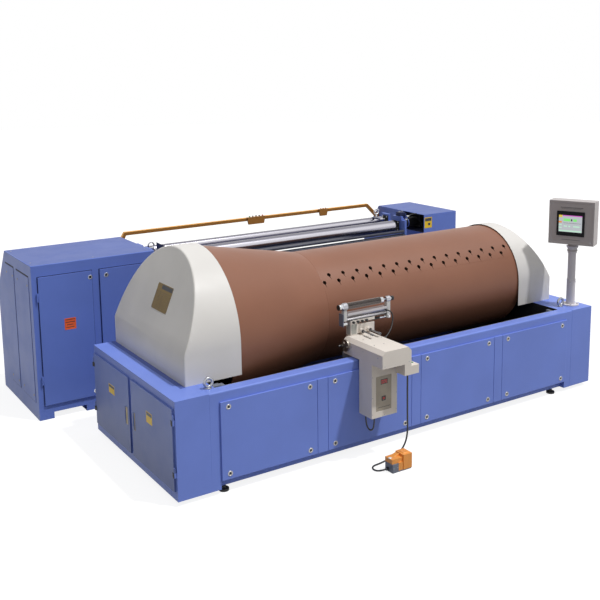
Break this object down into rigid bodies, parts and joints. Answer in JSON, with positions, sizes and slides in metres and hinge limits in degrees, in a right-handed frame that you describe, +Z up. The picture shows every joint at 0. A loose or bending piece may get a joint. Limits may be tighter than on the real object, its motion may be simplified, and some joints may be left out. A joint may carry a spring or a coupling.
{
  "type": "sectional warping machine",
  "caption": "Sectional warping machine with a coned winding drum in a blue casing, a travelling reed carriage with a foot switch, an operator panel and a beaming section behind.",
  "frame": {"origin": "middle of the sole of the front left levelling foot, on the floor", "axes": "+X along the drum to the operator panel, +Y from the operator's side to the beaming section, +Z up"},
  "size_m": [5.066, 3.846, 1.863],
  "materials": {
    "casing_blue": "satin blue powder coat",
    "cabinet_blue": "satin blue powder coat",
    "shroud_white": "satin warm white powder coat",
    "drum_brown": "satin brown enamel",
    "carriage_cream": "satin cream powder coat",
    "panel_grey": "satin grey powder coat",
    "machinery_grey": "semi-matt machinery enamel",
    "bar_orange": "satin orange powder coat",
    "steel": "ground and turned steel",
    "chrome": "polished chrome plate",
    "aluminium": "machined and extruded aluminium",
    "cast_iron": "machined cast iron",
    "rubber": "matt black rubber",
    "cord_black": "black flexible sheath",
    "guard_orange": "moulded orange plastic",
    "screen": "black bezel with a lit screen",
    "button_dark": "black plastic",
    "button_green": "green plastic",
    "button_red": "red plastic"
  },
  "bodies": {
    "root": {"left_end_block": "casing_blue", "right_end_block": "casing_blue", "front_wall": "casing_blue", "rear_wall": "casing_blue", "frame_pan": "casing_blue", "cover_panels": "casing_blue", "panel_locks": "chrome", "levelling_feet": "rubber", "left_shroud": "shroud_white", "right_shroud": "shroud_white", "eye_bolts": "chrome", "panel_post": "panel_grey", "drum_bearings": "machinery_grey", "drum_motor": "machinery_grey", "drive_belt": "rubber", "carriage_rails": "steel", "screw_drive": "machinery_grey", "left_cabinet": "cabinet_blue", "right_cabinet": "cabinet_blue", "rear_frame": "cabinet_blue", "guide_rods": "steel", "button_bar": "bar_orange", "button_boxes": "bar_orange", "beam_drive": "machinery_grey"},
    "front_end_door": {"end_door_1": "casing_blue"},
    "back_end_door": {"end_door_2": "casing_blue"},
    "left_cabinet_door": {"cabinet_door_1": "cabinet_blue"},
    "right_cabinet_door": {"cabinet_door_2": "cabinet_blue"},
    "operator_panel": {"control_box": "panel_grey", "touch_panel": "screen"},
    "drum": {"drum_shell": "drum_brown", "drum_core": "steel", "drum_pulley": "cast_iron"},
    "motor_shaft": {"motor_pulley": "cast_iron"},
    "screw": {"lead_screw": "steel"},
    "carriage": {"carriage_saddle": "machinery_grey", "carriage_arm": "carriage_cream", "drive_housing": "carriage_cream", "switch_box": "carriage_cream", "foot_switch_base": "machinery_grey", "foot_switch_guard": "guard_orange", "foot_cord": "cord_black", "loop_cable": "cord_black"},
    "housing_switch": {"rocker_switch": "button_red"},
    "carriage_button": {"box_button": "button_green"},
    "reed_head": {"reed_stand": "aluminium", "reed_holder": "aluminium", "head_cable": "cord_black"},
    "roller": {"measuring_roller": "steel"},
    "left_clamp": {"clamp_screw_1": "steel"},
    "right_clamp": {"clamp_screw_2": "steel"},
    "traverse_wheel": {"hand_wheel": "steel"},
    "treadle": {"foot_treadle": "button_dark"},
    "press": {"press_roller": "chrome"},
    "guide": {"guide_roller": "chrome"},
    "bar_button_1": {"push_button_1": "button_green"},
    "bar_button_2": {"push_button_2": "button_dark"},
    "bar_button_3": {"push_button_3": "button_dark"},
    "bar_button_4": {"push_button_4": "button_dark"},
    "bar_button_5": {"push_button_5": "button_red"}
  },
  "joints": [
    {"name": "front_end_door_swing", "type": "hinge", "parent": "root", "child": "front_end_door", "pos_m": [-0.422, -0.044, 0.4], "axis": [0, 0, 1], "range_deg": [0, 110]},
    {"name": "back_end_door_swing", "type": "hinge", "parent": "root", "child": "back_end_door", "pos_m": [-0.422, 1.574, 0.4], "axis": [0, 0, -1], "range_deg": [0, 95]},
    {"name": "left_cabinet_door_swing", "type": "hinge", "parent": "root", "child": "left_cabinet_door", "pos_m": [-0.71, 2.148, 0.7], "axis": [0, 0, -1], "range_deg": [0, 95]},
    {"name": "right_cabinet_door_swing", "type": "hinge", "parent": "root", "child": "right_cabinet_door", "pos_m": [0.391, 2.148, 0.7], "axis": [0, 0, 1], "range_deg": [0, 95]},
    {"name": "operator_panel_swivel", "type": "hinge", "parent": "root", "child": "operator_panel", "pos_m": [3.96, 0.097, 1.41], "axis": [0, 0, 1], "range_deg": [-60, 60]},
    {"name": "drum_turn", "type": "hinge", "parent": "root", "child": "drum", "pos_m": [1.6, 0.874, 1.047], "axis": [1, 0, 0], "continuous": true},
    {"name": "motor_turn", "type": "hinge", "parent": "root", "child": "motor_shaft", "pos_m": [-0.1, 0.874, 0.34], "axis": [1, 0, 0], "continuous": true},
    {"name": "screw_turn", "type": "hinge", "parent": "root", "child": "screw", "pos_m": [0.5, 0.11, 0.778], "axis": [1, 0, 0], "continuous": true},
    {"name": "carriage_traverse", "type": "slide", "parent": "root", "child": "carriage", "axis": [1, 0, 0], "range_m": [-0.8, 1.75]},
    {"name": "housing_switch_rock", "type": "hinge", "parent": "carriage", "child": "housing_switch", "pos_m": [1.348, -0.242, 0.52], "axis": [1, 0, 0], "range_deg": [-8, 8]},
    {"name": "carriage_button_press", "type": "slide", "parent": "carriage", "child": "carriage_button", "axis": [0, 0, -1], "range_m": [0, 0.003], "stiffness_N_per_m": 600, "springref_m": -0.002},
    {"name": "reed_head_traverse", "type": "slide", "parent": "carriage", "child": "reed_head", "axis": [0, 1, 0], "range_m": [-0.1, 0.01]},
    {"name": "roller_turn", "type": "hinge", "parent": "reed_head", "child": "roller", "pos_m": [1.43, 0.14, 1.216], "axis": [1, 0, 0], "continuous": true},
    {"name": "left_clamp_turn", "type": "hinge", "parent": "reed_head", "child": "left_clamp", "pos_m": [1.388, 0.1, 0.9943], "axis": [0, 1, 0], "range_deg": [-180, 180]},
    {"name": "right_clamp_turn", "type": "hinge", "parent": "reed_head", "child": "right_clamp", "pos_m": [1.465, 0.1, 0.9943], "axis": [0, 1, 0], "range_deg": [-180, 180]},
    {"name": "traverse_wheel_turn", "type": "hinge", "parent": "carriage", "child": "traverse_wheel", "pos_m": [1.21, 0.088, 0.902], "axis": [1, 0, 0], "continuous": true},
    {"name": "treadle_press", "type": "hinge", "parent": "carriage", "child": "treadle", "pos_m": [1.305, -0.47, 0.03], "axis": [0, 1, 0], "range_deg": [0, 7], "stiffness_Nm_per_rad": 4, "springref_deg": -2.86},
    {"name": "press_turn", "type": "hinge", "parent": "root", "child": "press", "pos_m": [2, 2.42, 1.315], "axis": [1, 0, 0], "continuous": true},
    {"name": "guide_turn", "type": "hinge", "parent": "root", "child": "guide", "pos_m": [2, 2.64, 1.355], "axis": [1, 0, 0], "continuous": true},
    {"name": "bar_button_1_press", "type": "slide", "parent": "root", "child": "bar_button_1", "axis": [0, 0, -1], "range_m": [0, 0.004], "stiffness_N_per_m": 600, "springref_m": -0.002},
    {"name": "bar_button_2_press", "type": "slide", "parent": "root", "child": "bar_button_2", "axis": [0, 0, -1], "range_m": [0, 0.004], "stiffness_N_per_m": 600, "springref_m": -0.002},
    {"name": "bar_button_3_press", "type": "slide", "parent": "root", "child": "bar_button_3", "axis": [0, 0, -1], "range_m": [0, 0.004], "stiffness_N_per_m": 600, "springref_m": -0.002},
    {"name": "bar_button_4_press", "type": "slide", "parent": "root", "child": "bar_button_4", "axis": [0, 0, -1], "range_m": [0, 0.004], "stiffness_N_per_m": 600, "springref_m": -0.002},
    {"name": "bar_button_5_press", "type": "slide", "parent": "root", "child": "bar_button_5", "axis": [0, 0, -1], "range_m": [0, 0.004], "stiffness_N_per_m": 600, "springref_m": -0.002}
  ],
  "couplings": [
    {"joint": "motor_turn", "follows": "drum_turn", "ratio": 2.2222},
    {"joint": "screw_turn", "follows": "carriage_traverse", "rad_per_m": 157.08},
    {"joint": "traverse_wheel_turn", "follows": "reed_head_traverse", "rad_per_m": 66.667}
  ]
}
